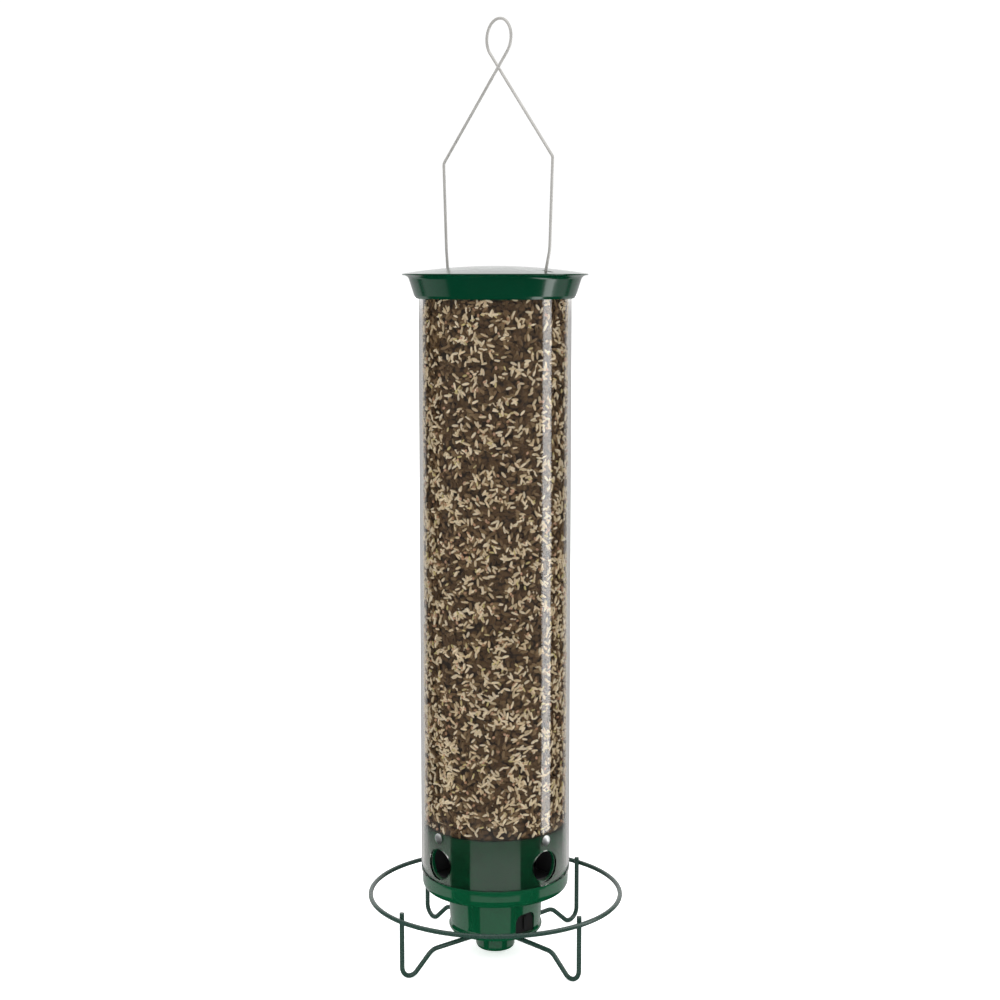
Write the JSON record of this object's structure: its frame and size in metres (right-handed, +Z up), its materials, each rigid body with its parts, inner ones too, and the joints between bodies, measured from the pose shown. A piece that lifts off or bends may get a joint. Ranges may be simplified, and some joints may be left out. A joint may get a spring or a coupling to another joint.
{
  "type": "tube bird feeder",
  "caption": "Hanging clear tube feeder for seed, with a flared green cap, a wire bail and a weight-tripped turning wire perch ring under its ported base.",
  "frame": {"origin": "on the tube's axis, at the level of the undersides of the wire feet", "axes": "+Z up along the tube; -Y is towards the front feeding port, +X towards the port above the charging recess, and the wire bail stands in the XZ plane"},
  "size_m": [0.2184, 0.2184, 0.787],
  "materials": {
    "clear_tube": "clear polycarbonate",
    "mixed_seed": "loose mixed seed, dark husks with cream grains",
    "green_plastic": "gloss moulded",
    "green_cap": "deep gloss enamel",
    "black_plastic": "moulded",
    "bright_screws": "polished stainless",
    "zinc_steel": "zinc plated",
    "ground_steel": "ground",
    "bail_steel": "drawn wire",
    "bronze": "turned",
    "white_nylon": "moulded nylon",
    "cell_sleeve": "shrink sleeve",
    "board_green": "glass-fibre board",
    "black_rubber": "soft rubber",
    "coated_wire": "gloss powder coat"
  },
  "bodies": {
    "feeder": {"seed_tube": "clear_tube", "seed_fill": "mixed_seed", "feeding_base": "green_plastic", "motor_housing": "green_plastic", "bottom_cover": "green_plastic", "seed_baffle": "black_plastic", "weight_switch": "black_plastic", "board_parts": "black_plastic", "port_hood_front": "black_plastic", "port_hood_right": "black_plastic", "port_hood_back": "black_plastic", "port_hood_left": "black_plastic", "tube_screws": "bright_screws", "housing_screws": "zinc_steel", "cover_screws": "zinc_steel", "plate_screws": "zinc_steel", "motor_screws": "zinc_steel", "board_screws": "zinc_steel", "gear_plate": "zinc_steel", "gear_motor": "zinc_steel", "board_posts": "zinc_steel", "bail_wire": "bail_steel", "shaft_bush": "bronze", "plate_bush": "bronze", "charge_socket": "bronze", "battery_cell_1": "cell_sleeve", "battery_cell_2": "cell_sleeve", "battery_cell_3": "cell_sleeve", "battery_cell_4": "cell_sleeve", "circuit_board": "board_green"},
    "perch": {"perch_hub": "green_plastic", "perch_hub_plug": "green_plastic", "perch_ring": "coated_wire", "perch_leg_front": "coated_wire", "perch_leg_right": "coated_wire", "perch_leg_back": "coated_wire", "perch_leg_left": "coated_wire"},
    "shaft": {"drive_shaft": "ground_steel", "drive_gear": "white_nylon", "perch_spring": "zinc_steel", "spring_washer": "zinc_steel", "shaft_screw": "zinc_steel"},
    "pinion": {"motor_shaft": "ground_steel", "motor_pinion": "bronze"},
    "plunger": {"switch_plunger": "ground_steel"},
    "cap": {"cap": "green_cap"},
    "bung": {"charge_bung": "black_rubber"}
  },
  "joints": [
    {"name": "perch_spin", "type": "hinge", "parent": "feeder", "child": "shaft", "pos_m": [0, 0, 0.03], "axis": [0, 0, 1], "continuous": true},
    {"name": "perch_drop", "type": "slide", "parent": "shaft", "child": "perch", "axis": [0, 0, 1], "range_m": [-0.004, 0], "stiffness_N_per_m": 900, "springref_m": 0.003, "deforming": ["perch_spring"]},
    {"name": "pinion_spin", "type": "hinge", "parent": "feeder", "child": "pinion", "pos_m": [-0.016, 0, 0.03], "axis": [0, 0, 1], "continuous": true},
    {"name": "plunger_travel", "type": "slide", "parent": "feeder", "child": "plunger", "axis": [0, 0, 1], "range_m": [-0.004, 0]},
    {"name": "cap_lift", "type": "slide", "parent": "feeder", "child": "cap", "axis": [0, 0, 1], "range_m": [0, 0.03]},
    {"name": "bung_pull", "type": "slide", "parent": "feeder", "child": "bung", "axis": [1, 0, 0], "range_m": [0, 0.02]}
  ],
  "couplings": [
    {"joint": "pinion_spin", "follows": "perch_spin", "ratio": -2.3333},
    {"joint": "plunger_travel", "follows": "perch_drop", "ratio": 1}
  ]
}
